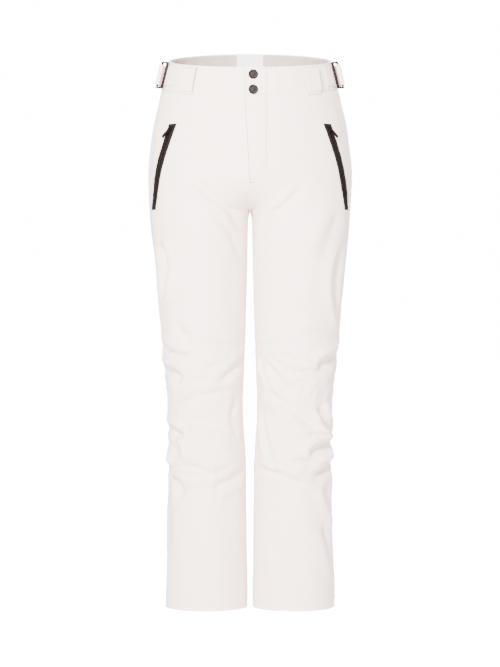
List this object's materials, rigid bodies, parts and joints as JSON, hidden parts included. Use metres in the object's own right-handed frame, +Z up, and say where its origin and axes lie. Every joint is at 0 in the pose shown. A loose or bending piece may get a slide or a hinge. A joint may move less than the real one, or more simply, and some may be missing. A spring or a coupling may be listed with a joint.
{
  "type": "ski pants",
  "caption": "Straight-leg insulated ski pants with snap waistband, side ring adjusters, covered fly and slanted hip zips.",
  "frame": {"origin": "middle of the waist opening, level with the waist edge at the side seams", "axes": "+Z up the body, +X to the wearer's left, -Y to the wearer's front"},
  "size_m": [0.385, 0.2521, 1.0632],
  "materials": {
    "shell_fabric": "matte warm-white twill shell with a thin layer of padding",
    "lining_fabric": "smooth mauve-grey lining",
    "patch_fabric": "plain white woven patch",
    "gaiter_fabric": "light coated nylon",
    "elastic": "ribbed elastic",
    "webbing": "warm-white woven strap",
    "zip_tape": "dark brown-black reverse coil zip",
    "zip_metal": "dark enamelled zip slider",
    "snap_metal": "dark enamelled snap",
    "ring_plastic": "black moulded ring"
  },
  "bodies": {
    "root": {"front_thigh_panel_right": "shell_fabric", "front_thigh_panel_left": "shell_fabric", "front_knee_panel_right": "shell_fabric", "front_knee_panel_left": "shell_fabric", "front_shin_panel_right": "shell_fabric", "front_shin_panel_left": "shell_fabric", "back_seat_panel_right": "shell_fabric", "back_seat_panel_left": "shell_fabric", "back_calf_panel_right": "shell_fabric", "back_calf_panel_left": "shell_fabric", "leg_lining_right": "lining_fabric", "leg_lining_left": "lining_fabric", "hem_facing_right": "shell_fabric", "hem_facing_left": "shell_fabric", "snow_gaiter_right": "gaiter_fabric", "snow_gaiter_left": "gaiter_fabric", "gaiter_elastic_right": "elastic", "gaiter_elastic_left": "elastic", "hip_zip_front_stringer_right": "zip_tape", "hip_zip_front_stringer_left": "zip_tape", "hip_zip_back_stringer_right": "zip_tape", "hip_zip_back_stringer_left": "zip_tape", "pocket_bag_right": "lining_fabric", "pocket_bag_left": "lining_fabric", "fly_shield": "shell_fabric", "fly_zip_stringer_right": "zip_tape", "fly_zip_stringer_left": "zip_tape", "waistband_front_right": "shell_fabric", "waistband_front_left": "shell_fabric", "waistband_back": "shell_fabric", "waistband_underlap_tab": "shell_fabric", "snap_stud_upper": "snap_metal", "snap_stud_lower": "snap_metal", "waistband_lining_back": "lining_fabric", "waistband_lining_front_right": "lining_fabric", "waistband_lining_front_left": "lining_fabric", "blank_inner_patch": "patch_fabric", "adjuster_anchor_right": "webbing", "adjuster_anchor_left": "webbing", "adjuster_strap_right": "webbing", "adjuster_strap_left": "webbing", "belt_loop_front_right": "shell_fabric", "belt_loop_front_left": "shell_fabric", "belt_loop_back": "shell_fabric"},
    "fly_flap": {"fly_flap": "shell_fabric", "waistband_overlap_tab": "shell_fabric", "snap_cap_upper": "snap_metal", "snap_cap_lower": "snap_metal", "snap_socket_upper": "snap_metal", "snap_socket_lower": "snap_metal"},
    "fly_zip_slider": {"fly_zip_slider": "zip_metal"},
    "fly_zip_puller": {"fly_zip_puller": "zip_metal"},
    "hip_zip_slider_right": {"hip_zip_slider_right": "zip_metal"},
    "hip_zip_puller_right": {"hip_zip_puller_right": "zip_metal"},
    "adjuster_ring_right": {"adjuster_ring_right": "ring_plastic"},
    "adjuster_tail_right": {"adjuster_strap_tail_right": "webbing"},
    "hip_zip_slider_left": {"hip_zip_slider_left": "zip_metal"},
    "hip_zip_puller_left": {"hip_zip_puller_left": "zip_metal"},
    "adjuster_ring_left": {"adjuster_ring_left": "ring_plastic"},
    "adjuster_tail_left": {"adjuster_strap_tail_left": "webbing"}
  },
  "joints": [
    {"name": "fly_flap_fold", "type": "hinge", "parent": "root", "child": "fly_flap", "pos_m": [0.0308, -0.11755, -0.205], "axis": [0, 0.0344, 0.9994], "range_deg": [0, 150]},
    {"name": "fly_zip_slide", "type": "slide", "parent": "root", "child": "fly_zip_slider", "axis": [0, 0.0305, 0.9995], "range_m": [-0.13, 0]},
    {"name": "fly_puller_swing", "type": "hinge", "parent": "fly_zip_slider", "child": "fly_zip_puller", "pos_m": [0.004, -0.10645, -0.08529], "axis": [-1, 0, 0], "range_deg": [0, 10]},
    {"name": "hip_zip_run_right", "type": "hinge", "parent": "root", "child": "hip_zip_slider_right", "pos_m": [0.2842, -0.12326, -0.32113], "axis": [0.1829, 0.9735, 0.1374], "range_deg": [-17.8, 0]},
    {"name": "hip_puller_swing_right", "type": "hinge", "parent": "hip_zip_slider_right", "child": "hip_zip_puller_right", "pos_m": [-0.14883, -0.0711, -0.13334], "axis": [-0.565, 0.7292, 0.3861], "range_deg": [0, 150]},
    {"name": "ring_tilt_right", "type": "hinge", "parent": "root", "child": "adjuster_ring_right", "pos_m": [-0.16078, -0.03172, -0.03117], "axis": [-0.2382, -0.0095, -0.9712], "range_deg": [-3, 3]},
    {"name": "strap_tail_peel_right", "type": "hinge", "parent": "root", "child": "adjuster_tail_right", "pos_m": [-0.17521, -0.01943, -0.02775], "axis": [-0.2382, -0.0095, -0.9712], "range_deg": [-140, 0]},
    {"name": "hip_zip_run_left", "type": "hinge", "parent": "root", "child": "hip_zip_slider_left", "pos_m": [-0.2842, -0.12326, -0.32113], "axis": [0.1829, -0.9735, -0.1374], "range_deg": [-17.8, 0]},
    {"name": "hip_puller_swing_left", "type": "hinge", "parent": "hip_zip_slider_left", "child": "hip_zip_puller_left", "pos_m": [0.14883, -0.0711, -0.13334], "axis": [-0.565, -0.7292, -0.3861], "range_deg": [0, 150]},
    {"name": "ring_tilt_left", "type": "hinge", "parent": "root", "child": "adjuster_ring_left", "pos_m": [0.16078, -0.03172, -0.03117], "axis": [-0.2382, 0.0095, 0.9712], "range_deg": [-3, 3]},
    {"name": "strap_tail_peel_left", "type": "hinge", "parent": "root", "child": "adjuster_tail_left", "pos_m": [0.17521, -0.01943, -0.02775], "axis": [-0.2382, 0.0095, 0.9712], "range_deg": [-140, 0]}
  ]
}
